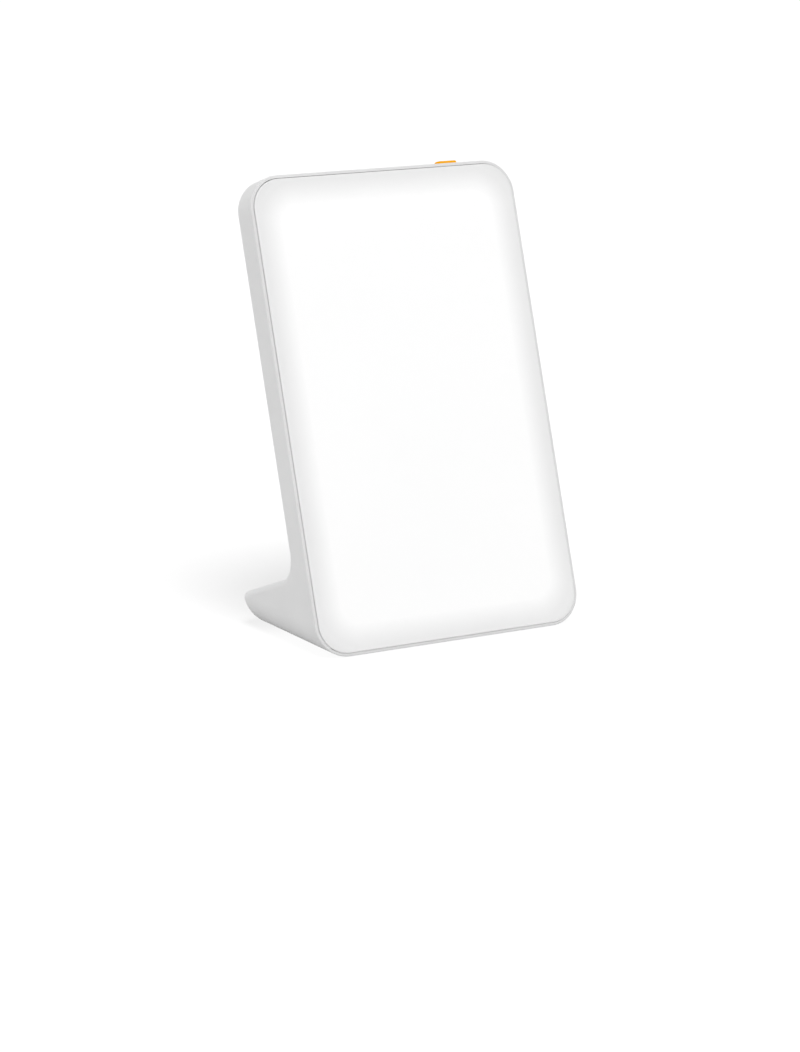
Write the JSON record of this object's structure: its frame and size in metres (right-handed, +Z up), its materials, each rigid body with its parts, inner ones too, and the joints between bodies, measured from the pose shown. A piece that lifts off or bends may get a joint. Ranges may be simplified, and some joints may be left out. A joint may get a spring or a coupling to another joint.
{
  "type": "light therapy lamp",
  "caption": "Slim rounded light panel leaning back on a one-piece L-shaped foot, with an opal lit front and a small press button on its top edge.",
  "frame": {"origin": "on the floor, under the middle of the part's box", "axes": "+Z up; the light faces -Y and leans back towards +Y; X runs across the panel"},
  "size_m": [0.15, 0.0878, 0.2244],
  "materials": {
    "housing_plastic": "fine satin texture, pale warm grey",
    "opal_diffuser": "opal acrylic, satin front",
    "diffusion_film": "frosted sheet",
    "reflector_white": "highly reflective white",
    "board_white": "white solder mask on aluminium core",
    "led_package": "yellow phosphor in a pale package",
    "spreader_aluminium": "mill finish",
    "screw_steel": "zinc plated",
    "connector_ivory": "natural nylon",
    "cover_plastic": "fine texture, a little darker than the housing",
    "pad_rubber": "grey silicone",
    "board_green": "green solder mask",
    "ferrite": "sintered ferrite",
    "capacitor_sleeve": "shrunk sleeve",
    "chip_black": "moulded epoxy",
    "black_plastic": "moulded",
    "contact_brass": "tinned brass",
    "button_orange": "satin orange",
    "plunger_plastic": "moulded nylon",
    "dome_steel": "spring steel leaf",
    "lead_red": "insulation",
    "lead_black": "insulation",
    "lead_white": "insulation",
    "lead_grey": "insulation"
  },
  "bodies": {
    "housing": {"rear_housing": "housing_plastic", "front_diffuser": "opal_diffuser", "diffusion_film": "diffusion_film", "reflector_frame": "reflector_white", "led_board": "board_white", "led_packages": "led_package", "heat_spreader": "spreader_aluminium", "led_board_screws": "screw_steel", "led_connector": "connector_ivory", "base_cover": "cover_plastic", "base_cover_screws": "screw_steel", "base_pads": "pad_rubber", "driver_board": "board_green", "driver_inductor": "ferrite", "driver_capacitors": "capacitor_sleeve", "driver_chips": "chip_black", "driver_connectors": "connector_ivory", "driver_board_screws": "screw_steel", "dc_jack_body": "black_plastic", "dc_jack_pin": "contact_brass", "dc_jack_lugs": "contact_brass", "switch_body": "black_plastic", "switch_dome": "dome_steel", "switch_board": "board_green", "switch_board_screws": "screw_steel", "switch_connector": "connector_ivory", "led_lead_red": "lead_red", "led_lead_black": "lead_black", "switch_lead_white": "lead_white", "switch_lead_grey": "lead_grey", "jack_lead_red": "lead_red", "jack_lead_black": "lead_black"},
    "button": {"power_button": "button_orange"},
    "plunger": {"switch_plunger": "plunger_plastic"}
  },
  "joints": [
    {"name": "button_press", "type": "slide", "parent": "housing", "child": "button", "axis": [0, -0.3107, -0.9505], "range_m": [0, 0.001], "stiffness_N_per_m": 1500, "springref_m": -0.0005},
    {"name": "plunger_press", "type": "slide", "parent": "housing", "child": "plunger", "axis": [0, -0.3107, -0.9505], "range_m": [0, 0.001], "deforming": ["switch_dome"]}
  ],
  "couplings": [
    {"joint": "plunger_press", "follows": "button_press", "ratio": 1}
  ]
}
